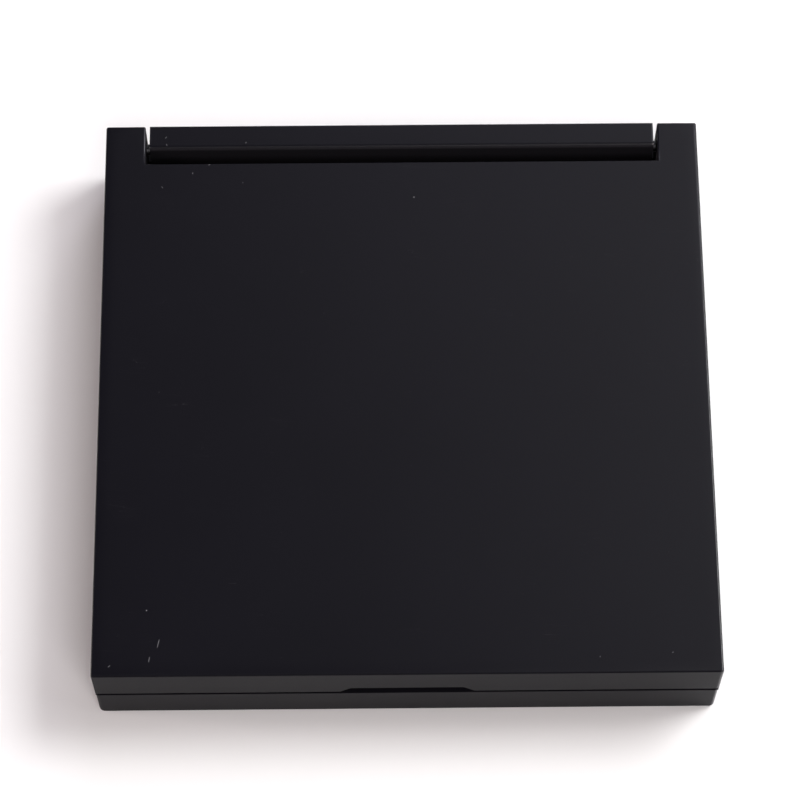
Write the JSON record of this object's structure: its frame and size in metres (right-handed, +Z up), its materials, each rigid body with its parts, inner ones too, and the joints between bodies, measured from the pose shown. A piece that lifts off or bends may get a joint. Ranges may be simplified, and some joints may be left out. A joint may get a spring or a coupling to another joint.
{
  "type": "powder compact",
  "caption": "Square black powder compact with a hinged mirror lid, pressed powder pan, clear cover sheet and puff.",
  "frame": {"origin": "middle of the underside of the closed compact's box, on the surface that it stands on", "axes": "+X to the right along the hinge, +Y from the finger notch towards the hinge, +Z up through the lid"},
  "size_m": [0.065, 0.0636, 0.012],
  "materials": {
    "case_black": "satin black moulded plastic",
    "inner_black": "fine matt black moulded plastic",
    "paper_tape": "double-sided paper tape",
    "pan_metal": "pressed sheet, satin",
    "pressed_powder": "pressed mineral powder, chalky",
    "clear_film": "clear plastic sheet",
    "puff_velour": "short velour pile",
    "puff_foam": "soft open foam",
    "satin_ribbon": "rose satin ribbon",
    "pin_steel": "ground steel wire",
    "mirror_silver": "silvered glass",
    "foam_tape": "black foam tape"
  },
  "bodies": {
    "base": {"base_shell": "case_black", "base_insert": "inner_black", "pan_tape": "paper_tape", "powder_pan": "pan_metal", "powder_cake": "pressed_powder", "cover_film": "clear_film", "puff_cover": "puff_velour", "puff_foam": "puff_foam", "puff_ribbon": "satin_ribbon", "hinge_pin_left": "pin_steel", "hinge_pin_right": "pin_steel"},
    "lid": {"lid_shell": "case_black", "mirror_frame": "inner_black", "mirror_glass": "mirror_silver", "mirror_tape": "foam_tape"}
  },
  "joints": [
    {"name": "lid_hinge", "type": "hinge", "parent": "base", "child": "lid", "pos_m": [0, 0.03, 0.0097], "axis": [-1, 0, 0], "range_deg": [0, 130]}
  ]
}
